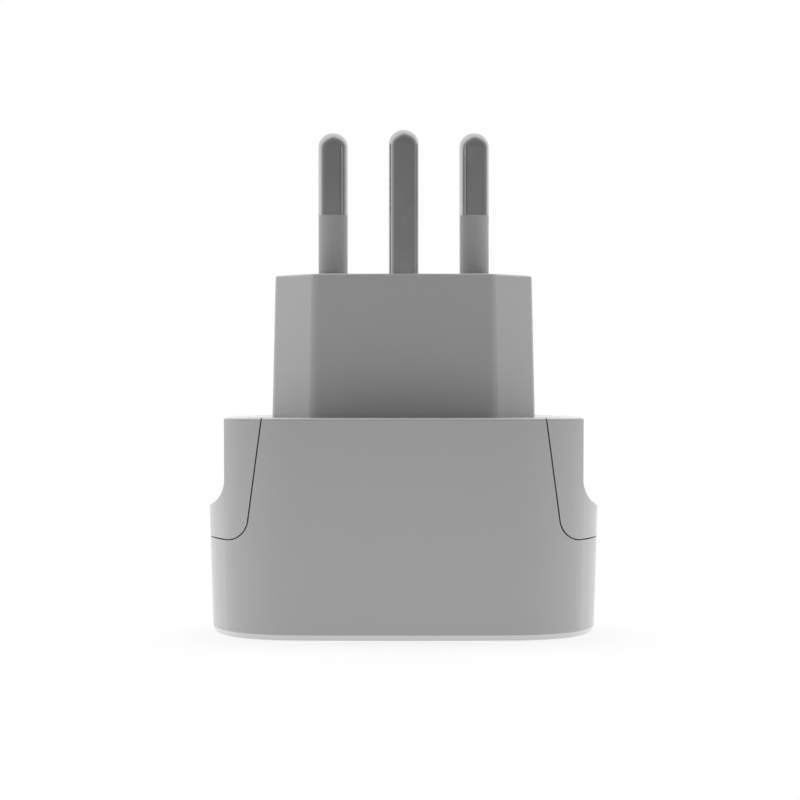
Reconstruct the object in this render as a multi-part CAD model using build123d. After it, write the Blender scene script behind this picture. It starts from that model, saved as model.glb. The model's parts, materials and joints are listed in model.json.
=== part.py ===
from build123d import *

import os
from math import hypot, radians, sqrt, tan

# Travel adapter with a world socket face at the bottom and a Type J plug at the top.
# The frame stands it on its socket face: X across the two live pins, Y to the back, Z to
# the pin tips. The origin is the middle of the socket face. All sizes are millimetres.

# Plug pins
pin_d = 4.0
pin_length = 19.2
pin_pitch = 19.0
earth_pin_setback = 5.0
sleeve_length = 8.1
sleeve_d = 3.94
neck_d = 2.9
root_d = 4.4
flange_d = 6.4
flange_thickness = 1.3
tail_d = 2.4
tail_head_d = 3.6
tail_head = 0.8
tip_flat = 0.1
earth_lug_d = 4.0

# Body: the room it leaves round its contents sets its outside
side_room = 10.36
end_room = 3.5
head_room = 5.7
corner_r = 11.8
front_crown_r = 230.0
side_crown_r = 30.0
draft = 1.8
wall = 2.2
face_thickness = 2.4
plate_thickness = 2.2
foot_inset = 0.3
foot_rise = 0.7
rim_fillet = 0.3

# Plug block
block_width = 36.2
block_flat = 24.0
block_depth = 17.0
block_height = 19.0
block_draft = 1.28
block_edge_r = 1.8
block_rim_fillet = 0.35
block_wall = 2.0
block_face = 3.0

# Finger recesses and the seam round each side wing
grip_depth = 2.64
ledge_drop = 11.85
ledge_rise = 1.8
ledge_fillet = 3.9
ledge_edge_fillet = 0.3
wing_width = 7.76
wing_lean = 2.2
wing_height = 15.85
seam_r = 3.0
seam_gap = 0.17
lip_thickness = 1.0
lip_height = 1.5

# Socket openings, all standing on one line of live holes
socket_line_y = -10.4
euro_hole_d = 5.2
blade_pitch = 12.7
blade_slot = (1.9, 7.0)
slanted_pitch = 13.8
slant = 30.0
wide_pitch = 22.2
wide_slot = (6.6, 4.4)
round_earth_rise = 11.9
round_earth_d = 6.0
flat_earth_slot = (1.9, 5.0)
wide_earth_rise = 22.2
wide_earth_slot = (4.4, 8.4)

# Shutter
shutter_thickness = 3.0
shutter_lift = 1.0
shutter_travel = 7.6
shutter_length = 12.0
cover_inner_x = 5.0
cover_outer_x = 15.4
bridge_depth = 2.6
bridge_track = 6.0
arm_depth = 1.4
ramp_edge = 0.4
ramp_skin = 0.8
rail_lap = 0.65
rail_width = 0.8
spring_wire_d = 0.4
spring_coil_d = 2.4
spring_turns = 10

# Contacts and the carrier
carrier_plate = 2.0
carrier_height = 13.5
sheet = 0.6
contact_drop = 10.4
pocket_wall = 1.0
mouth_flare = 0.5
pinch_rise = 2.2
leaf_rise = 4.6
contact_seat = 0.5
live_gap = 5.6
live_pinch = 3.4
round_earth_gap = 5.8
round_earth_pinch = 4.6
wide_earth_gap = 5.0
wide_earth_pinch = 3.8
earth_half_x = 3.8
busbar_width = 4.4
leg_y = 3.5
earth_leg_y = -0.9
rib_width = 3.0
cover_plate = 1.6
cover_lap = 0.8
rivet_d = 2.0
rivet_head_d = 3.4
rivet_head = 0.6

# Fasteners
post_air = 0.55
post_y = 11.0
housing_screw_d = 2.2
housing_screw_head_d = 4.0
housing_screw_length = 11.0
carrier_screw_x = 10.5
carrier_screw_y = 10.5
carrier_screw_d = 2.2
carrier_screw_head_d = 3.8
retainer_thickness = 4.3
retainer_screw_x = 4.7
retainer_screw_d = 2.0
retainer_screw_head_d = 3.4
screw_head = 1.2

# Clearances
running = 0.05
slip = 0.02
assembly = 0.1
loose = 0.3

# Heights, from the socket face up
shutter_z = face_thickness + shutter_lift
shutter_top_z = shutter_z + shutter_thickness
carrier_z = shutter_top_z + assembly
carrier_plate_z = carrier_z + carrier_plate
tower_z = carrier_z + carrier_height
contact_top_z = tower_z + sheet
busbar_top_z = contact_top_z + sheet
cover_top_z = busbar_top_z + cover_plate
body_height = cover_top_z + head_room
plate_z = body_height - plate_thickness
pin_face_z = body_height + block_height
flange_top_z = pin_face_z - block_face
flange_z = flange_top_z - flange_thickness
retainer_z = flange_top_z - retainer_thickness
lug_z = retainer_z - sheet
sleeve_top_z = pin_face_z + sleeve_length
tip_z = pin_face_z + pin_length
ledge_z = body_height - ledge_drop
seam_z = body_height - wing_height

# Plan positions
live_x = pin_pitch / 2
earth_y = -earth_pin_setback
round_earth_y = socket_line_y + round_earth_rise
wide_earth_y = socket_line_y + wide_earth_rise
live_hole_x = (blade_pitch - blade_slot[0]) / 2, (wide_pitch + wide_slot[0]) / 2
pocket_x = live_hole_x[0] - loose, live_hole_x[1] + loose
live_half_y = blade_slot[1] / 2 + 5 * assembly
earth_pockets = [
    (round_earth_y, round_earth_d / 2 + assembly),
    (wide_earth_y, wide_earth_slot[1] / 2 + assembly),
]
carrier_half = pocket_x[1] + pocket_wall
front_y = socket_line_y - live_half_y - pocket_wall
back_y = sum(earth_pockets[1]) + pocket_wall

# The body's outside, across the grip ledges and from front to back
body_width = 2 * (carrier_half + side_room)
body_depth = 2 * (wide_earth_y + wide_earth_slot[1] / 2 + end_room)
grip_x = body_width / 2 - grip_depth
seam_top_x = body_width / 2 - wing_width
seam_low_x = seam_top_x + wing_lean

# Posts stand midway between the carrier and the walls of the finger recesses
post_x = (carrier_half + grip_x - wall) / 2
post_d = grip_x - wall - carrier_half - 2 * post_air
cover_y = socket_line_y - blade_slot[1] / 2 - 5 * assembly
arm_y = post_d / 2 - post_y + loose + 2 * assembly
spring_start_y = arm_y + arm_depth
spring_end_y = post_y - post_d / 2 - loose
spring_x = post_x - loose


def block(x0, x1, y0, y1, z0, z1):
    """A box between pairs of coordinates."""
    middle = ((x0 + x1) / 2, (y0 + y1) / 2, (z0 + z1) / 2)
    return Pos(*middle) * Box(abs(x1 - x0), abs(y1 - y0), abs(z1 - z0))


def rod(d, x, y, z0, z1):
    """An upright cylinder."""
    return Pos(x, y, (z0 + z1) / 2) * Cylinder(d / 2, z1 - z0)


def pair(solid):
    """A solid and its mirror image across the middle plane."""
    return solid + mirror(solid, Plane.YZ)


def across(sketch, y0, y1):
    """An XZ sketch carried from one depth to another."""
    face = Pos(0, y0, 0) * (Plane.XZ * sketch)
    return extrude(face, amount=y1 - y0, dir=(0, 1, 0))


def along(sketch, x0, x1):
    """A YZ sketch carried from one side to another."""
    face = Pos(x0, 0, 0) * (Plane.YZ * sketch)
    return extrude(face, amount=x1 - x0, dir=(1, 0, 0))


def polygon(*points):
    return make_face(Polyline(*points, close=True))


def outline(inset, z):
    """Plan of the body at a height: four crowned sides joined by tangent corners."""
    shrink = inset + (ledge_z - z) * tan(radians(draft))
    half_x, half_y = body_width / 2 - shrink, body_depth / 2 - shrink
    front, side, corner = front_crown_r - shrink, side_crown_r - shrink, corner_r - shrink
    front_centre, side_centre = (0, front - half_y), (half_x - side, 0)
    span = hypot(side_centre[0], front_centre[1])
    ux, uy = side_centre[0] / span, -front_centre[1] / span
    a = ((front - corner) ** 2 - (side - corner) ** 2 + span**2) / (2 * span)
    b = sqrt((front - corner) ** 2 - a**2)
    x, y = min(
        ((ux * a - s * uy * b, front_centre[1] + uy * a + s * ux * b) for s in (1, -1)),
        key=lambda point: point[1],
    )

    def on_corner(dx, dy):
        return x + dx / hypot(dx, dy) * corner, y + dy / hypot(dx, dy) * corner

    start = on_corner(x, y - front_centre[1])
    stop = on_corner(x - side_centre[0], y)
    bend = on_corner((start[0] + stop[0]) / 2 - x, (start[1] + stop[1]) / 2 - y)
    edges = []
    for s in (1, -1):
        across_front = [(-start[0], s * start[1]), (0, -s * half_y), (start[0], s * start[1])]
        down_side = [(s * stop[0], stop[1]), (s * half_x, 0), (s * stop[0], -stop[1])]
        edges += [ThreePointArc(*across_front), ThreePointArc(*down_side)]
        edges += [
            ThreePointArc(*[(s * px, t * py) for px, py in (start, bend, stop)]) for t in (1, -1)
        ]
    return make_face(edges)


def drafted(inset, z0, z1):
    """The body's outline, made smaller by inset, between two heights."""
    return extrude(Pos(0, 0, z0) * outline(inset, z0), amount=z1 - z0, taper=-draft)


def wing_zone(offset):
    """Both side regions beyond the seam, drawn back from it by offset."""
    lean = (seam_low_x - seam_top_x) / (body_height - seam_z)
    far, high = body_width, body_height + 2
    bottom = seam_z + offset

    def x_at(z):
        return seam_low_x + offset * hypot(1, lean) - lean * (z - seam_z)

    corner = (x_at(bottom), bottom)
    sketch = polygon((x_at(high), high), corner, (far, bottom), (far, high))
    vertex = sketch.vertices().sort_by(lambda v: hypot(v.X - corner[0], v.Y - corner[1]))[0]
    sketch = fillet(vertex, seam_r - offset)
    return pair(across(sketch, -body_depth, body_depth))


def grip_zone(offset):
    """Both finger recesses, drawn towards the middle by offset."""
    x, z = grip_x - offset, ledge_z + ledge_rise - offset
    slope = ledge_rise / grip_depth
    far, high = body_width, body_height + 2
    sketch = polygon((x, high), (x, z), (far, z - slope * (far - x)), (far, high))
    vertex = sketch.vertices().sort_by(lambda v: hypot(v.X - x, v.Y - z))[0]
    sketch = fillet(vertex, ledge_fillet)
    return pair(across(sketch, -body_depth, body_depth))


def strip(points, thickness):
    """Section of a folded sheet from its centre line, with mitred folds."""
    left, right = [], []
    for i, (px, py) in enumerate(points):
        before = points[i - 1] if i else None
        after = points[i + 1] if i + 1 < len(points) else None
        ways = []
        for p, q in ((before, (px, py)), ((px, py), after)):
            if p and q:
                run = hypot(q[0] - p[0], q[1] - p[1])
                ways.append(((q[0] - p[0]) / run, (q[1] - p[1]) / run))
        nx = -sum(way[1] for way in ways) / len(ways)
        ny = sum(way[0] for way in ways) / len(ways)
        reach = thickness / 2 / (nx**2 + ny**2)
        left.append((px + nx * reach, py + ny * reach))
        right.append((px - nx * reach, py - ny * reach))
    return polygon(*left, *reversed(right))


def hexagon(vertex_half, flat_half, depth_half):
    points = [(vertex_half, 0), (flat_half, depth_half), (-flat_half, depth_half)]
    return polygon(*points, *[(-px, -py) for px, py in points])


def screw(x, y, seat_z, length, d, head_d, way=1):
    """A pan-head screw seated at a height; way is 1 for a head on top, -1 for one below."""
    head = extrude(Circle(head_d / 2), amount=screw_head)
    head = fillet(head.edges().sort_by(Axis.Z)[-1], screw_head * 0.35)
    arm, half = head_d * 0.28, head_d * 0.09
    for across_x, across_y in ((arm, half), (half, arm)):
        head -= block(-across_x, across_x, -across_y, across_y, screw_head * 0.4, screw_head)
    whole = head + extrude(Circle(d / 2), amount=-length)
    return Pos(x, y, seat_z) * (Rot(0 if way > 0 else 180, 0, 0) * whole)


def live_opening():
    """The right-hand live hole: round, flat-blade, slanted-blade and wide pins in one."""
    shape = Pos(live_x, 0) * Circle(euro_hole_d / 2)
    shape += Pos(blade_pitch / 2, 0) * Rectangle(*blade_slot)
    shape += Pos(slanted_pitch / 2, 0) * Rot(0, 0, slant) * Rectangle(*blade_slot)
    shape += Pos(wide_pitch / 2, 0) * Rectangle(*wide_slot)
    return Pos(0, socket_line_y) * shape


def earth_openings():
    round_hole = Circle(round_earth_d / 2)
    round_hole += Pos(0, -flat_earth_slot[1] / 2) * Rectangle(*flat_earth_slot)
    return Pos(0, round_earth_y) * round_hole + Pos(0, wide_earth_y) * Rectangle(*wide_earth_slot)


# Blanks shared by the two shells
body = drafted(0, 0, body_height)
base = body.faces().sort_by(Axis.Z)[0]
body = chamfer(base.edges(), foot_inset, foot_rise, reference=base)
body = fillet(body.faces().sort_by(Axis.Z)[-1].edges(), rim_fillet)
plug_plan = hexagon(block_width / 2, block_flat / 2, block_depth / 2)
plug_plan = fillet(plug_plan.vertices(), block_edge_r)
plug = extrude(Pos(0, 0, body_height) * plug_plan, amount=block_height, taper=block_draft)
plug = fillet(plug.faces().sort_by(Axis.Z)[-1].edges(), block_rim_fillet)
narrowing = block_height * tan(radians(block_draft))
room_half_y = block_depth / 2 - narrowing - block_wall
retainer_screw_y = room_half_y - assembly - retainer_screw_head_d / 2


def room_plan(inset):
    """Plan of the plug block's hollow, with a bay at the front for the earth pin's lug."""
    blank = hexagon(block_width / 2 - narrowing, block_flat / 2, block_depth / 2 - narrowing)
    blank = offset(blank, -block_wall - inset, kind=Kind.INTERSECTION)
    return blank + Pos(0, earth_y) * Circle(earth_lug_d / 2 + assembly - inset)


room = extrude(Pos(0, 0, plate_z) * room_plan(0), amount=flange_top_z - plate_z)
posts = [(s * post_x, t * post_y) for s in (1, -1) for t in (1, -1)]

# Front housing: socket face, front and back walls, screw posts and shutter tracks
front_housing = body - wing_zone(-seam_gap / 2)
front_housing -= drafted(wall, face_thickness, body_height + 1)
lip_z = seam_z - 2 * lip_height
lip = drafted(wall - lip_thickness, lip_z, plate_z - assembly)
lip -= drafted(wall, lip_z, plate_z - assembly)
front_housing += lip & wing_zone(-seam_gap) - wing_zone(lip_height)
for x, y in posts:
    front_housing += rod(post_d, x, y, face_thickness / 2, plate_z)
    front_housing -= rod(
        housing_screw_d + 2 * slip, x, y, plate_z - housing_screw_length, plate_z + 1
    )
rail_y = cover_y + shutter_length + shutter_travel
outer_rail = block(
    cover_outer_x - rail_lap, cover_outer_x + rail_width, cover_y, rail_y, face_thickness / 2,
    shutter_z - running,
)
guide = block(
    cover_outer_x + assembly, cover_outer_x + rail_width, spring_start_y + shutter_travel + loose,
    rail_y, face_thickness / 2, shutter_top_z,
)
inner_guide = block(
    cover_inner_x - assembly - pocket_wall, cover_inner_x - assembly,
    cover_y + bridge_depth + shutter_travel + loose, rail_y, face_thickness / 2, carrier_z,
)
boss = rod(2 * carrier_screw_d, carrier_screw_x, carrier_screw_y, face_thickness / 2, carrier_z)
boss -= rod(
    carrier_screw_d + 2 * slip, carrier_screw_x, carrier_screw_y, shutter_z - 2 * assembly,
    carrier_z,
)
spring_stop = block(
    spring_x - spring_coil_d, post_x, spring_end_y, post_y, face_thickness / 2, shutter_top_z
)
front_housing += pair(outer_rail + guide + inner_guide + boss + spring_stop)
front_housing += block(
    -bridge_track / 2, bridge_track / 2, cover_y, cover_y + bridge_depth + shutter_travel,
    face_thickness / 2, shutter_z - running,
)
openings = live_opening() + mirror(live_opening(), Plane.YZ) + earth_openings()
front_housing -= extrude(openings, amount=face_thickness * 2)

# Rear housing: rear plate, side wings with finger recesses, and the plug block
gripped = body - grip_zone(0)
ledge_edges = gripped.edges().filter_by(
    lambda edge: abs(edge.center().X) > grip_x and abs(edge.center().Z - ledge_z) < slip
)
wing = fillet(ledge_edges, ledge_edge_fillet) & wing_zone(seam_gap / 2)
wing -= drafted(wall, face_thickness, plate_z) - grip_zone(wall)
wing -= drafted(wall - lip_thickness - assembly, seam_z, plate_z) - wing_zone(
    lip_height + seam_gap
)
plate = drafted(wall + assembly, plate_z, body_height)
rear_housing = wing + (plate - grip_zone(0)) + plug - room
pin_places = [(-live_x, 0), (live_x, 0), (0, earth_y)]
for x, y in pin_places:
    rear_housing -= rod(root_d + 2 * slip, x, y, flange_top_z - 1, pin_face_z + 1)
for x, y in posts:
    rear_housing -= rod(housing_screw_d + 2 * assembly, x, y, plate_z - 1, body_height + 1)
    rear_housing -= rod(
        housing_screw_head_d + 2 * assembly, x, y, body_height - screw_head, body_height + 1
    )
for x in (retainer_screw_x, -retainer_screw_x):
    rear_housing -= rod(
        retainer_screw_d + 2 * slip, x, retainer_screw_y, flange_top_z - 1,
        pin_face_z - block_face * 0.25,
    )
rear_housing += pair(
    block(
        live_x - rib_width / 2, live_x + rib_width / 2, front_y + pocket_wall,
        front_y + 2 * pocket_wall, cover_top_z, plate_z + assembly,
    )
)


# Plug pins: one turned piece each, with a flange inside and a peened tail
def turned_pin(profile, x, y):
    face = Plane.XZ * polygon(*profile)
    return Pos(x, y, 0) * revolve(face, Axis.Z)


foot = [
    (0, lug_z - tail_head), (tail_d / 2, lug_z - tail_head), (tail_head_d / 2, lug_z - tail_head / 2),
    (tail_head_d / 2, lug_z), (tail_d / 2, lug_z), (tail_d / 2, flange_z),
    (flange_d / 2, flange_z), (flange_d / 2, flange_top_z),
]
live_profile = foot + [
    (neck_d / 2, flange_top_z), (neck_d / 2, sleeve_top_z), (pin_d / 2, sleeve_top_z),
    (pin_d / 2, tip_z), (0, tip_z),
]
earth_profile = foot + [
    (root_d / 2, flange_top_z), (root_d / 2, pin_face_z), (pin_d / 2, pin_face_z),
    (pin_d / 2, tip_z), (0, tip_z),
]


def rounded_tip(pin):
    """Rounds the pin's end to a dome, with a hair of flat left at the middle."""
    rim = pin.edges().filter_by(GeomType.CIRCLE).sort_by(Axis.Z)[-1]
    return fillet(rim, (pin_d - tip_flat) / 2)


live_pin = rounded_tip(turned_pin(live_profile, 0, 0))
line_pin = Pos(-live_x, 0, 0) * live_pin
neutral_pin = Pos(live_x, 0, 0) * live_pin
earth_pin = rounded_tip(turned_pin(earth_profile, 0, earth_y))
flat_y = 2 * slip - room_half_y
earth_pin -= block(-flange_d, flange_d, flat_y - flange_d, flat_y, lug_z - 1, flange_top_z + slip)


# Sleeves, moulded rings round the necks of the two live pins
def ring(x):
    blank = rod(sleeve_d, x, 0, flange_top_z, sleeve_top_z)
    blank += rod(root_d, x, 0, flange_top_z, pin_face_z)
    return blank - rod(neck_d + 2 * slip, x, 0, flange_top_z, sleeve_top_z)


line_pin_sleeve, neutral_pin_sleeve = ring(-live_x), ring(live_x)

# Pin retainer: a block that holds the three flanges against the inside of the pin face
pin_retainer = extrude(Pos(0, 0, retainer_z) * room_plan(assembly), amount=retainer_thickness)
for x, y in pin_places:
    pin_retainer -= rod(tail_d + 2 * slip, x, y, retainer_z - 1, flange_top_z)
    pin_retainer -= rod(flange_d + 2 * slip, x, y, flange_z, flange_top_z + 1)
retainer_screws = []
for x in (retainer_screw_x, -retainer_screw_x):
    pin_retainer -= rod(
        retainer_screw_d + 2 * assembly, x, retainer_screw_y, retainer_z - 1, flange_top_z + 1
    )
    retainer_screws.append(screw(
        x, retainer_screw_y, retainer_z, retainer_thickness + block_face * 0.6,
        retainer_screw_d, retainer_screw_head_d, way=-1,
    ))

# Busbars: sheet strips folded up through the plug block to the pin tails
bar_z, lug_mid_z = contact_top_z + sheet / 2, lug_z + sheet / 2
half = busbar_width / 2
live_strip = strip(
    [(socket_line_y - half, bar_z), (leg_y, bar_z), (leg_y, lug_mid_z), (-half, lug_mid_z)], sheet
)
earth_strip = strip(
    [
        (wide_earth_y + half, bar_z), (earth_leg_y, bar_z), (earth_leg_y, lug_mid_z),
        (earth_y, lug_mid_z),
    ],
    sheet,
)
live_rivet = (live_x, socket_line_y)
neutral_busbar = along(live_strip, live_x - half, live_x + half)
neutral_busbar -= rod(tail_d + 2 * slip, live_x, 0, lug_z - 1, retainer_z + 1)
neutral_busbar -= rod(rivet_d + 2 * slip, *live_rivet, contact_top_z - 1, busbar_top_z + 1)
line_busbar = mirror(neutral_busbar, Plane.YZ)
earth_busbar = along(earth_strip, -half, half)
earth_busbar += rod(earth_lug_d, 0, earth_y, lug_z, retainer_z)
earth_busbar -= rod(tail_d + 2 * slip, 0, earth_y, lug_z - 1, retainer_z + 1)
earth_rivets = [(0, round_earth_y), (0, wide_earth_y)]
for x, y in earth_rivets:
    earth_busbar -= rod(rivet_d + 2 * slip, x, y, contact_top_z - 1, busbar_top_z + 1)


def fork(gap, pinch):
    """Section of a two-leaf contact hanging from its base, open at the mouth."""
    mouth_z = contact_top_z - contact_drop - sheet
    leaf = [
        (gap / 2 + mouth_flare, mouth_z), (pinch / 2, mouth_z + pinch_rise),
        (gap / 2, mouth_z + leaf_rise),
        (gap / 2, tower_z + sheet / 2),
    ]
    return strip(leaf + [(-y, z) for y, z in reversed(leaf)], sheet)


# Contacts: each a folded fork whose base strip sits on the rim of its tower
base_half = live_gap / 2 + sheet / 2
neutral_contact = along(Pos(socket_line_y, 0) * fork(live_gap, live_pinch), *live_hole_x)
neutral_contact += block(
    pocket_x[0] - contact_seat, pocket_x[1] + contact_seat, socket_line_y - base_half,
    socket_line_y + base_half, tower_z, contact_top_z,
)
neutral_contact -= rod(rivet_d + 2 * slip, *live_rivet, tower_z - 1, contact_top_z + 1)
line_contact = mirror(neutral_contact, Plane.YZ)


def earth_fork(y, pocket_half, gap, pinch):
    contact = across(fork(gap, pinch), y - pocket_half + loose, y + pocket_half - loose)
    seat = pocket_half + contact_seat
    half = (gap + sheet) / 2
    contact += block(-half, half, y - seat, y + seat, tower_z, contact_top_z)
    return contact - rod(rivet_d + 2 * slip, 0, y, tower_z - 1, contact_top_z + 1)


round_earth_contact = earth_fork(*earth_pockets[0], round_earth_gap, round_earth_pinch)
wide_earth_contact = earth_fork(*earth_pockets[1], wide_earth_gap, wide_earth_pinch)


def rivet(x, y):
    shank = rod(rivet_d, x, y, tower_z, busbar_top_z)
    lower = rod(rivet_head_d, x, y, tower_z - rivet_head, tower_z)
    upper = rod(rivet_head_d, x, y, busbar_top_z, busbar_top_z + rivet_head)
    lower = fillet(lower.edges().sort_by(Axis.Z)[0], rivet_head * 0.6)
    upper = fillet(upper.edges().sort_by(Axis.Z)[-1], rivet_head * 0.6)
    return shank + lower + upper


rivet_places = [live_rivet, (-live_rivet[0], live_rivet[1]), *earth_rivets]
contact_rivets = [rivet(x, y) for x, y in rivet_places]

# Contact carrier: a plate over the shutter with a hollow tower round each contact
contact_carrier = block(
    -carrier_half, carrier_half, front_y, back_y, carrier_z, carrier_plate_z
)
live_tower = block(
    pocket_x[0] - pocket_wall, carrier_half, front_y, socket_line_y + live_half_y + pocket_wall,
    carrier_z, tower_z,
)
live_pocket = block(
    *pocket_x, socket_line_y - live_half_y, socket_line_y + live_half_y, 0, tower_z + 1
)
column = rod(2 * carrier_screw_d, carrier_screw_x, carrier_screw_y, carrier_z, busbar_top_z)
contact_carrier += pair(live_tower + column)
contact_carrier += block(
    -earth_half_x - pocket_wall, earth_half_x + pocket_wall,
    round_earth_y - earth_pockets[0][1] - pocket_wall, back_y, carrier_z, tower_z,
)
contact_carrier -= pair(live_pocket)
for y, pocket_half in earth_pockets:
    contact_carrier -= block(
        -earth_half_x, earth_half_x, y - pocket_half, y + pocket_half, 0, tower_z + 1
    )
contact_carrier &= drafted(wall + assembly, carrier_z - 1, busbar_top_z + 1)

# Carrier cover: an insulating plate that clamps contacts and busbars to the carrier
carrier_cover = block(
    -carrier_half, carrier_half, front_y, wide_earth_y + half + cover_lap, busbar_top_z,
    cover_top_z,
)
for x in (live_x, -live_x):
    carrier_cover -= block(
        x - half - loose, x + half + loose, leg_y - sheet, leg_y + sheet, busbar_top_z - 1,
        cover_top_z + 1,
    )
carrier_cover -= block(
    -half - loose, half + loose, earth_leg_y - sheet, earth_leg_y + sheet, busbar_top_z - 1,
    cover_top_z + 1,
)
for x, y in rivet_places:
    carrier_cover -= rod(rivet_head_d + 2 * assembly, x, y, 0, busbar_top_z + rivet_head + slip)
carrier_screws = []
for x in (carrier_screw_x, -carrier_screw_x):
    hole = rod(carrier_screw_d + 2 * assembly, x, carrier_screw_y, carrier_z - 1, body_height)
    contact_carrier -= hole
    carrier_cover -= hole
    carrier_screws.append(screw(
        x, carrier_screw_y, cover_top_z, cover_top_z - shutter_z, carrier_screw_d,
        carrier_screw_head_d,
    ))

# Housing screws, sunk in the rear plate and driven into the four posts
housing_screws = [
    screw(
        x, y, body_height - screw_head, housing_screw_length - plate_thickness,
        housing_screw_d, housing_screw_head_d,
    )
    for x, y in posts
]

# Safety shutter: two ramped covers joined by a bridge, with an arm for each spring
cover = block(
    cover_inner_x, cover_outer_x, cover_y, cover_y + shutter_length, shutter_z, shutter_top_z
)
ramp = polygon(
    (cover_y - 1, shutter_z - 1), (cover_y - 1, shutter_top_z - ramp_skin),
    (cover_y + ramp_edge, shutter_top_z - ramp_skin), (cover_y + blade_slot[1], shutter_z),
    (cover_y + blade_slot[1], shutter_z - 1),
)
cover -= along(ramp, cover_inner_x + ramp_edge, cover_outer_x - rail_lap)
arm = block(
    cover_outer_x - rail_lap, spring_x + spring_coil_d / 2, arm_y, spring_start_y, shutter_z,
    shutter_top_z,
)
shutter = pair(cover + arm) + block(
    -cover_inner_x - ramp_edge, cover_inner_x + ramp_edge, cover_y, cover_y + bridge_depth,
    shutter_z, shutter_top_z,
)


def coil_spring(x):
    """A return spring standing between the shutter's arm and its stop."""
    wire_r = spring_wire_d / 2
    height = spring_end_y - spring_start_y - spring_wire_d
    path = Helix(height / spring_turns, height, spring_coil_d / 2)
    section = Plane(origin=path @ 0, z_dir=path % 0) * Circle(wire_r)
    wire = sweep(section, path=path, is_frenet=True)
    z = (shutter_z + shutter_top_z) / 2
    return Pos(x, spring_start_y + wire_r, z) * Rot(-90, 0, 0) * wire


left_shutter_spring, right_shutter_spring = coil_spring(-spring_x), coil_spring(spring_x)

nodes = {
    "front_housing": front_housing,
    "rear_housing": rear_housing,
    "housing_screws": Compound(children=housing_screws),
    "line_pin": line_pin,
    "neutral_pin": neutral_pin,
    "earth_pin": earth_pin,
    "line_pin_sleeve": line_pin_sleeve,
    "neutral_pin_sleeve": neutral_pin_sleeve,
    "pin_retainer": pin_retainer,
    "retainer_screws": Compound(children=retainer_screws),
    "line_busbar": line_busbar,
    "neutral_busbar": neutral_busbar,
    "earth_busbar": earth_busbar,
    "line_contact": line_contact,
    "neutral_contact": neutral_contact,
    "round_earth_contact": round_earth_contact,
    "wide_earth_contact": wide_earth_contact,
    "contact_rivets": Compound(children=contact_rivets),
    "contact_carrier": contact_carrier,
    "carrier_cover": carrier_cover,
    "carrier_screws": Compound(children=carrier_screws),
    "shutter": shutter,
    "left_shutter_spring": left_shutter_spring,
    "right_shutter_spring": right_shutter_spring,
}
os.makedirs("parts", exist_ok=True)
for name, shape in nodes.items():
    export_step(shape, f"parts/{name}.step")
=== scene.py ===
"""Looks of the three-pole travel adapter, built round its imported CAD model."""

import json
from math import cos, pi, radians, sin

import bmesh
import bpy
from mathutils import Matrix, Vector


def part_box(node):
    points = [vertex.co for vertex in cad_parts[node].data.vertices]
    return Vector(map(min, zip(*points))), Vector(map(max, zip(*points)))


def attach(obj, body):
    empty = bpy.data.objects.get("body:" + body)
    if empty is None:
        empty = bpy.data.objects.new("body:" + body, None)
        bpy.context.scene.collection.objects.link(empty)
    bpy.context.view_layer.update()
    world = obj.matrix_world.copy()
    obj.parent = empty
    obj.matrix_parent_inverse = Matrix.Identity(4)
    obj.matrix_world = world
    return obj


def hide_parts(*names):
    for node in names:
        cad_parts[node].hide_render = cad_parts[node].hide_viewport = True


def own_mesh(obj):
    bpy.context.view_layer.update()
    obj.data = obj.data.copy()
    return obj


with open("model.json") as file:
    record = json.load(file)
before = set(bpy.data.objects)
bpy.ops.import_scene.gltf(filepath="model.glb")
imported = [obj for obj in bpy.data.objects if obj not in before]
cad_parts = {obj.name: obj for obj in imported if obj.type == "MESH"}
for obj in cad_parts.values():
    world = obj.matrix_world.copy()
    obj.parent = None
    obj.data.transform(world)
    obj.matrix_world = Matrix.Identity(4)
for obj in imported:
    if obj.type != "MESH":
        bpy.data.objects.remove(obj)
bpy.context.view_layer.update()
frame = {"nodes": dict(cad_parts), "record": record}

# All lengths are metres, and all turns are degrees

# Camera: it looks level, from a little above the rear plate
EYE_DISTANCE = 0.380
EYE_HEIGHT = 0.03305
EYE_SIDE = -0.00049
FOCAL_PIXELS = 2820.0
HORIZON_ROW = 383.0
IMAGE = 800.0
SENSOR_MM = 36.0
NEAREST = 0.01

# Room, and the tent over the front, which ends TENT_END away from straight ahead
ROOM = 1.0
TENT_RADIUS = 1.2
TENT_END = 125.0
TENT_TURN = 8.0
TENT_RINGS = 40
TENT_SECTORS = 48
# Its radiance, from straight in front (0) to straight behind (1). A direction's place there
# is Y + Z (TENT_SIDE |X| + TENT_TOP Z), which runs from -1 to 1.
TENT_LEVELS = [
    (0.0, 0.222), (0.27, 0.227), (0.40, 0.24), (0.50, 0.275), (0.57, 0.36), (0.65, 0.52),
    (0.73, 0.74), (0.80, 1.0),
]
TENT_SPAN = (-1.0, 1.0, 0.0, 1.0)
TENT_SIDE = 0.35
TENT_TOP = 0.38

LAMPS = {
    "top_lamp": {"place": (0.0, 0.17, 0.6), "side": 0.36, "energy": 2.5},
    "left_lamp": {"place": (-0.5, 0.08, 0.12), "side": 0.12, "energy": 0.14},
    "right_lamp": {"place": (0.5, 0.08, 0.12), "side": 0.12, "energy": 0.22},
}
LAMP_AIM = Vector((0.0, 0.0, 0.03))

# Floor: it lies FLOOR_DROP under the object
FLOOR_SIZE = 3.0
FLOOR_DROP = 0.00002
FLOOR_COLOUR = (0.86, 0.86, 0.86, 1)
# Share of plain white in what is seen, by distance from the middle
FLOOR_FADE = (0.02, 0.10, 0.85, 1.0)
# Strength of what lights the object, by Y + FLOOR_SIDE |X|, and its share
FLOOR_FALL = (-0.12, -0.085, 0.15, 0.9)
FLOOR_SIDE = 0.8
FLOOR_LIT = 0.85

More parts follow.
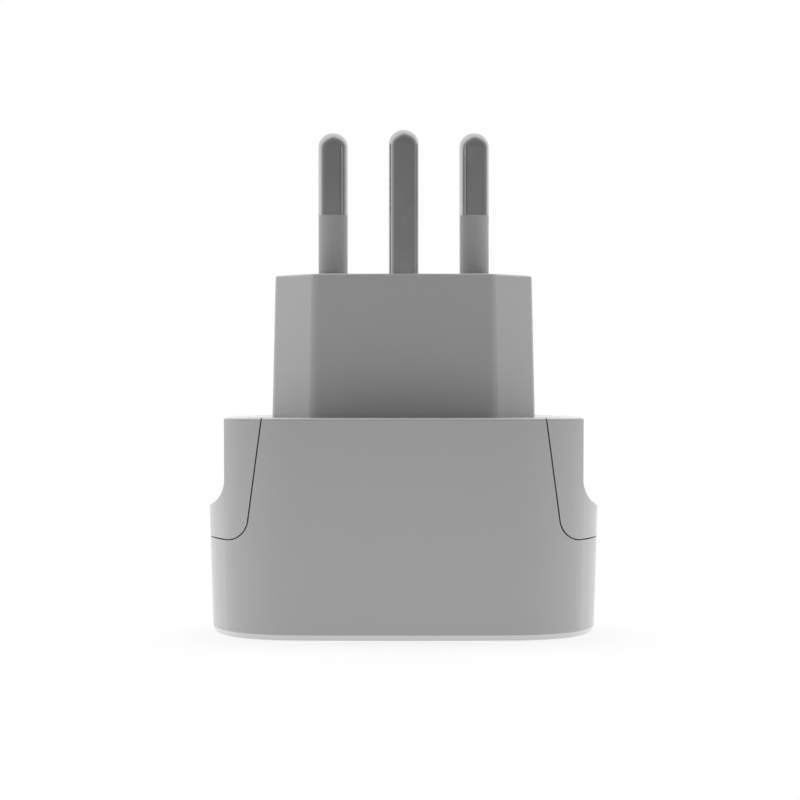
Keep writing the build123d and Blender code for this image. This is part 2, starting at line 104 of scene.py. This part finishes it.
# Painted highlight on the bevel round the foot of the body, standing in for the light from the
# floor below: its share by height, the upward part of its normal, and how far from that a face
# still counts as the bevel
PAINTED_HIGHLIGHT_BAND = (0.00068, 0.00074, 1.0, 0.0)
PAINTED_HIGHLIGHT_SLOPE = -0.394
PAINTED_HIGHLIGHT_SPREAD = 0.2

# Plastic: size and height of the grain, noise scale of the flow marks, spread of roughness
GRAIN_SIZE = 0.00035
GRAIN_HEIGHT = 0.00002
FLOW_SCALE = 90.0
PLASTIC_SPREAD = 0.06
PLASTIC_IOR = 1.5

# Metal: noise scale and height of the tool lines, noise scale of the tarnish, and spread
TOOL_SCALE = 4000.0
TOOL_HEIGHT = 0.00001
TARNISH_SCALE = 260.0
METAL_SPREAD = 0.04

# The housing's roughness stays under 0.27 with its spread, because a spread across that
# value draws faint outlines in the render
PLASTICS = {
    "housing_plastic": {
        "colour": (0.562, 0.556, 0.561), "roughness": 0.20, "relief": 0.1,
        # The last value is a painted highlight on the foot bevel, for the light from the floor
        # below
        "variation": 0.02, "painted_foot_highlight": 0.44,
    },
    "sleeve_plastic": {
        "colour": (0.505, 0.5, 0.504), "roughness": 0.4, "relief": 0.1, "variation": 0.015,
    },
    "inner_plastic": {"colour": (0.72, 0.71, 0.68), "roughness": 0.55},
    "shutter_plastic": {"colour": (0.8, 0.8, 0.79), "roughness": 0.38, "relief": 0.1},
}
METALS = {
    "pin_plating": {
        "colour": (0.56, 0.555, 0.555), "roughness": 0.17, "lines": (0.03, 0.03, 1),
        "relief": 0.03, "tarnish": 0.02,
    },
    "contact_brass": {
        "colour": (0.8, 0.6, 0.28), "roughness": 0.32, "lines": (1, 0.05, 0.05),
    },
    "screw_steel": {"colour": (0.58, 0.585, 0.6), "roughness": 0.34},
    "spring_steel": {"colour": (0.6, 0.6, 0.6), "roughness": 0.34},
}

# Sockets of the Mix node that hold its two colours and its result
MIX_FIRST = 6
MIX_SECOND = 7
MIX_RESULT = 2

# Return springs: wire thickness, open turns, rings to a turn and sides of the wire
SPRING_WIRE = 0.0004
SPRING_TURNS = 10
SPRING_STEPS = 24
SPRING_SIDES = 10


def make_object(name, mesh):
    """A new object from a bmesh."""
    data = bpy.data.meshes.new(name)
    mesh.to_mesh(data)
    mesh.free()
    obj = bpy.data.objects.new(name, data)
    bpy.context.collection.objects.link(obj)
    return obj


class Nodes:
    """A short way to write a material's node tree."""

    def __init__(self, tree):
        self.tree = tree
        tree.nodes.clear()

    def add(self, kind, **values):
        """A node, with its settings and its sockets' values by name."""
        node = self.tree.nodes.new("ShaderNode" + kind)
        for key, value in values.items():
            if hasattr(node, key):
                setattr(node, key, value)
            else:
                node.inputs[key.replace("_", " ")].default_value = value
        return node

    def link(self, source, output, target, socket):
        self.tree.links.new(source.outputs[output], target.inputs[socket])

    def ramp(self, stops):
        """A colour ramp from places and their grey levels or colours."""
        node = self.add("ValToRGB")
        elements = node.color_ramp.elements
        while len(elements) < len(stops):
            elements.new(0.5)
        for element, (place, level) in zip(elements, stops):
            element.position = place
            element.color = level if isinstance(level, tuple) else (level, level, level, 1)
        return node

    def span(self, ends, **values):
        """A Map Range node from the two ends that it reads and the two that it gives."""
        node = self.add("MapRange", **values)
        for socket, end in zip(("From Min", "From Max", "To Min", "To Max"), ends):
            node.inputs[socket].default_value = end
        return node


def new_material(name):
    """A material and the cleared tree of its nodes."""
    material = bpy.data.materials.new(name)
    material.use_nodes = True
    return material, Nodes(material.node_tree)


def shade(colour, factor):
    """A colour made lighter or darker, with its alpha."""
    return tuple(min(1, channel * factor) for channel in colour) + (1,)


def plastic(name, colour, roughness, relief=0.25, variation=0.03, painted_foot_highlight=0.0):
    """Moulded plastic: a fine spark-eroded grain, faint flow marks and uneven gloss.

    The last argument lightens the bevel round the foot by that share: a painted highlight standing
    in for the light from the floor below.
    """
    material, n = new_material(name)
    output = n.add("OutputMaterial")
    shader = n.add("BsdfPrincipled", IOR=PLASTIC_IOR)
    place = n.add("TexCoord")
    flow = n.add("TexNoise", Scale=FLOW_SCALE, Detail=3.0, Roughness=0.55)
    tone = n.ramp([(0.0, shade(colour, 1 - variation)), (1.0, shade(colour, 1 + variation))])
    gloss = n.ramp([(0.0, roughness - PLASTIC_SPREAD), (1.0, roughness + PLASTIC_SPREAD)])
    texture = n.add("TexNoise", Scale=1 / GRAIN_SIZE, Detail=2.0, Roughness=0.6)
    bump = n.add("Bump", Strength=relief, Distance=GRAIN_HEIGHT)
    # Painted highlight: the downward-facing bevel at the foot, found by height and normal, is made
    # lighter as if lit by the floor
    height = n.add("SeparateXYZ")
    band = n.span(PAINTED_HIGHLIGHT_BAND)
    facing = n.add("SeparateXYZ")
    bevel = n.add("Math", operation="COMPARE")
    bevel.inputs[1].default_value = PAINTED_HIGHLIGHT_SLOPE
    bevel.inputs[2].default_value = PAINTED_HIGHLIGHT_SPREAD
    share = n.add("Math", operation="MULTIPLY")
    highlight_mix = n.add("Mix", data_type="RGBA", blend_type="MIX")
    highlight_mix.inputs[MIX_SECOND].default_value = shade(colour, 1 + painted_foot_highlight)

    n.link(place, "Object", flow, "Vector")
    n.link(flow, "Fac", tone, "Fac")
    n.link(place, "Object", height, "Vector")
    n.link(height, "Z", band, "Value")
    n.link(place, "Normal", facing, "Vector")
    n.link(facing, "Z", bevel, 0)
    n.link(band, "Result", share, 0)
    n.link(bevel, "Value", share, 1)
    n.link(share, "Value", highlight_mix, "Factor")
    n.link(tone, "Color", highlight_mix, MIX_FIRST)
    n.link(highlight_mix, MIX_RESULT, shader, "Base Color")
    n.link(flow, "Fac", gloss, "Fac")
    n.link(gloss, "Color", shader, "Roughness")
    n.link(place, "Object", texture, "Vector")
    n.link(texture, "Fac", bump, "Height")
    n.link(bump, "Normal", shader, "Normal")
    n.link(shader, "BSDF", output, "Surface")
    return material


def metal(name, colour, roughness, lines=(1, 1, 1), relief=0.2, tarnish=0.06):
    """Metal with fine tool lines, running along the axes that lines shrinks, and tarnish."""
    material, n = new_material(name)
    output = n.add("OutputMaterial")
    shader = n.add("BsdfPrincipled", Metallic=1.0)
    place = n.add("TexCoord")
    stretch = n.add("Mapping", Scale=lines)
    tool = n.add("TexNoise", Scale=TOOL_SCALE, Detail=2.0, Roughness=0.5)
    cloud = n.add("TexNoise", Scale=TARNISH_SCALE, Detail=4.0, Roughness=0.6)
    tone = n.ramp([(0.0, shade(colour, 1 - tarnish)), (1.0, shade(colour, 1 + tarnish))])
    gloss = n.ramp([(0.0, roughness - METAL_SPREAD), (1.0, roughness + METAL_SPREAD)])
    bump = n.add("Bump", Strength=relief, Distance=TOOL_HEIGHT)

    n.link(place, "Object", stretch, "Vector")
    n.link(stretch, "Vector", tool, "Vector")
    n.link(tool, "Fac", bump, "Height")
    n.link(bump, "Normal", shader, "Normal")
    n.link(place, "Object", cloud, "Vector")
    n.link(cloud, "Fac", tone, "Fac")
    n.link(tone, "Color", shader, "Base Color")
    n.link(cloud, "Fac", gloss, "Fac")
    n.link(gloss, "Color", shader, "Roughness")
    n.link(shader, "BSDF", output, "Surface")
    return material


def return_spring(side):
    """A compression spring with one closed turn at each end, built in its part's box in place of
    that part.
    """
    node = side + "_shutter_spring"
    low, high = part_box(node)
    wire = SPRING_WIRE / 2
    centre = Vector(((low.x + high.x) / 2, low.y + wire, (low.z + high.z) / 2))
    coil_r = (high.x - low.x) / 2 - wire
    length = high.y - low.y - 2 * wire
    pitch = (length - 2 * SPRING_WIRE) / SPRING_TURNS
    mesh = bmesh.new()
    rings, rise = [], 0.0
    count = (SPRING_TURNS + 2) * SPRING_STEPS
    for i in range(count + 1):
        closed = i < SPRING_STEPS or i >= count - SPRING_STEPS
        climb = SPRING_WIRE if closed else pitch
        turn = 2 * pi * i / SPRING_STEPS
        out = Vector((cos(turn), 0, sin(turn)))
        ahead = Vector((-2 * pi * coil_r * sin(turn), climb, 2 * pi * coil_r * cos(turn)))
        across = ahead.cross(out).normalized()
        middle = centre + out * coil_r + Vector((0, rise, 0))
        ring = []
        for j in range(SPRING_SIDES):
            around = 2 * pi * j / SPRING_SIDES
            ring.append(mesh.verts.new(middle + wire * (out * cos(around) + across * sin(around))))
        rings.append(ring)
        rise += climb / SPRING_STEPS
    for near, far in zip(rings, rings[1:]):
        for j in range(SPRING_SIDES):
            mesh.faces.new((near[j - 1], near[j], far[j], far[j - 1]))
    mesh.faces.new(rings[0])
    mesh.faces.new(rings[-1])
    bmesh.ops.recalc_face_normals(mesh, faces=mesh.faces)
    for face in mesh.faces:
        face.smooth = True
    spring = make_object(side + "_return_spring", mesh)
    spring.data.materials.append(looks["spring_steel"])
    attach(spring, "adapter")
    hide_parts(node)
    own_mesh(spring)


def path_mix(n, seen, light, target, socket="Surface"):
    """Camera, mirror and glass rays meet the seen shader, and the object is lit by the other."""
    path = n.add("LightPath")
    first = n.add("Math", operation="MAXIMUM")
    second = n.add("Math", operation="MAXIMUM")
    mix = n.add("MixShader")
    n.link(path, "Is Camera Ray", first, 0)
    n.link(path, "Is Glossy Ray", first, 1)
    n.link(first, "Value", second, 0)
    n.link(path, "Is Transmission Ray", second, 1)
    n.link(second, "Value", mix, "Fac")
    n.tree.links.new(light, mix.inputs[1])
    n.tree.links.new(seen, mix.inputs[2])
    n.link(mix, "Shader", target, socket)


def room():
    """A white room on all sides."""
    world = bpy.data.worlds.new("studio")
    bpy.context.scene.world = world
    world.use_nodes = True
    n = Nodes(world.node_tree)
    output = n.add("OutputWorld")
    light = n.add("Background", Color=(1, 1, 1, 1), Strength=ROOM)
    seen = n.add("Background", Color=(1, 1, 1, 1), Strength=1.0)
    path_mix(n, seen.outputs["Background"], light.outputs["Background"], output)


def tent_glow():
    """The tent's own light, which grows from the front to the back."""
    material, n = new_material("tent_grey")
    output = n.add("OutputMaterial")
    glow = n.add("Emission", Strength=1.0)
    place = n.add("TexCoord")
    direction = n.add("VectorMath", operation="NORMALIZE")
    split = n.add("SeparateXYZ")
    side = n.add("Math", operation="ABSOLUTE")
    top = n.add("Math", operation="MULTIPLY")
    top.inputs[1].default_value = TENT_TOP
    slope = n.add("Math", operation="MULTIPLY_ADD")
    slope.inputs[1].default_value = TENT_SIDE
    back = n.add("Math", operation="MULTIPLY_ADD")
    span = n.span(TENT_SPAN)
    level = n.ramp(TENT_LEVELS)

    n.link(place, "Object", direction, 0)
    n.link(direction, "Vector", split, "Vector")
    n.link(split, "X", side, 0)
    n.link(split, "Z", top, 0)
    n.link(side, "Value", slope, 0)
    n.link(top, "Value", slope, 2)
    n.link(slope, "Value", back, 0)
    n.link(split, "Z", back, 1)
    n.link(split, "Y", back, 2)
    n.link(back, "Value", span, "Value")
    n.link(span, "Result", level, "Fac")
    n.link(level, "Color", glow, "Color")
    n.link(glow, "Emission", output, "Surface")
    material.cycles.emission_sampling = "NONE"
    return material


def tent():
    """A grey half-dome in front of the object, hidden from the camera."""
    mesh = bmesh.new()
    rows = []
    for i in range(1, TENT_RINGS + 1):
        away = radians(TENT_END) * i / TENT_RINGS
        reach, ahead = TENT_RADIUS * sin(away), -TENT_RADIUS * cos(away)
        row = []
        for j in range(TENT_SECTORS + 1):
            around = pi * j / TENT_SECTORS
            row.append(mesh.verts.new((reach * cos(around), ahead, reach * sin(around))))
        rows.append(row)
    tip = mesh.verts.new((0, -TENT_RADIUS, 0))
    for j in range(TENT_SECTORS):
        mesh.faces.new((tip, rows[0][j], rows[0][j + 1]))
    for near, far in zip(rows, rows[1:]):
        for j in range(TENT_SECTORS):
            mesh.faces.new((near[j], far[j], far[j + 1], near[j + 1]))
    dome = make_object("front_tent", mesh)
    dome.rotation_euler = (0, 0, radians(TENT_TURN))
    dome.data.materials.append(tent_glow())
    dome.visible_camera = False


def lamps():
    """Soft lights over the rear plate and at both sides, kept out of the pins' reflections."""
    for name, facts in LAMPS.items():
        lamp = bpy.data.lights.new(name, "AREA")
        lamp.size = facts["side"]
        lamp.energy = facts["energy"]
        holder = bpy.data.objects.new(name, lamp)
        bpy.context.collection.objects.link(holder)
        place = Vector(facts["place"])
        holder.location = place
        holder.rotation_euler = (LAMP_AIM - place).to_track_quat("-Z", "Y").to_euler()
        holder.visible_glossy = False


def floor():
    """A white table with a soft shadow near the object, clear when seen from underneath."""
    bpy.ops.mesh.primitive_plane_add(size=FLOOR_SIZE, location=(0, 0, -FLOOR_DROP))
    table = bpy.context.object
    table.name = "floor"
    material, n = new_material("floor_white")
    output = n.add("OutputMaterial")
    place = n.add("TexCoord")
    near = n.add("BsdfDiffuse", Color=FLOOR_COLOUR)

    # What is seen: the shaded table near the object, which fades to plain white
    white = n.add("Emission", Color=(1, 1, 1, 1), Strength=1.0)
    distance = n.add("VectorMath", operation="LENGTH")
    fade = n.span(FLOOR_FADE, interpolation_type="SMOOTHSTEP")
    seen = n.add("MixShader")
    n.link(place, "Object", distance, 0)
    n.link(distance, "Value", fade, "Value")
    n.link(fade, "Result", seen, "Fac")
    n.link(near, "BSDF", seen, 1)
    n.link(white, "Emission", seen, 2)

    # What lights the object: mostly a glow that is weaker in front of it
    split = n.add("SeparateXYZ")
    side = n.add("Math", operation="ABSOLUTE")
    depth = n.add("Math", operation="MULTIPLY_ADD")
    depth.inputs[1].default_value = FLOOR_SIDE
    fall = n.span(FLOOR_FALL, interpolation_type="SMOOTHSTEP")
    glow = n.add("Emission", Color=(1, 1, 1, 1))
    light = n.add("MixShader", Fac=FLOOR_LIT)
    n.link(place, "Object", split, "Vector")
    n.link(split, "X", side, 0)
    n.link(side, "Value", depth, 0)
    n.link(split, "Y", depth, 2)
    n.link(depth, "Value", fall, "Value")
    n.link(fall, "Result", glow, "Strength")
    n.link(near, "BSDF", light, 1)
    n.link(glow, "Emission", light, 2)

    face = n.add("NewGeometry")
    clear = n.add("BsdfTransparent")
    faces = n.add("MixShader")
    path_mix(n, seen.outputs["Shader"], light.outputs["Shader"], faces, 1)
    n.link(clear, "BSDF", faces, 2)
    n.link(face, "Backfacing", faces, "Fac")
    n.link(faces, "Shader", output, "Surface")
    material.cycles.emission_sampling = "NONE"
    table.data.materials.append(material)


def camera():
    """The photograph's camera, level, with its horizon moved by a shift of the lens."""
    data = bpy.data.cameras.new("camera")
    obj = bpy.data.objects.new("camera", data)
    bpy.context.collection.objects.link(obj)
    obj.location = (EYE_SIDE, -EYE_DISTANCE, EYE_HEIGHT)
    obj.rotation_euler = (pi / 2, 0, 0)
    data.sensor_width = SENSOR_MM
    data.lens = FOCAL_PIXELS * SENSOR_MM / IMAGE
    data.shift_y = (HORIZON_ROW - IMAGE / 2) / IMAGE
    data.clip_start = NEAREST
    bpy.context.scene.camera = obj


looks = {name: plastic(name, **facts) for name, facts in PLASTICS.items()}
looks.update({name: metal(name, **facts) for name, facts in METALS.items()})
slots = {entry["node"]: entry["material_slot"] for entry in frame["record"]["subparts"]}
for node, obj in frame["nodes"].items():
    obj.data.materials.clear()
    obj.data.materials.append(looks[slots[node]])

for side in ("left", "right"):
    return_spring(side)
room()
tent()
lamps()
floor()
camera()
bpy.context.scene.view_settings.view_transform = "Standard"
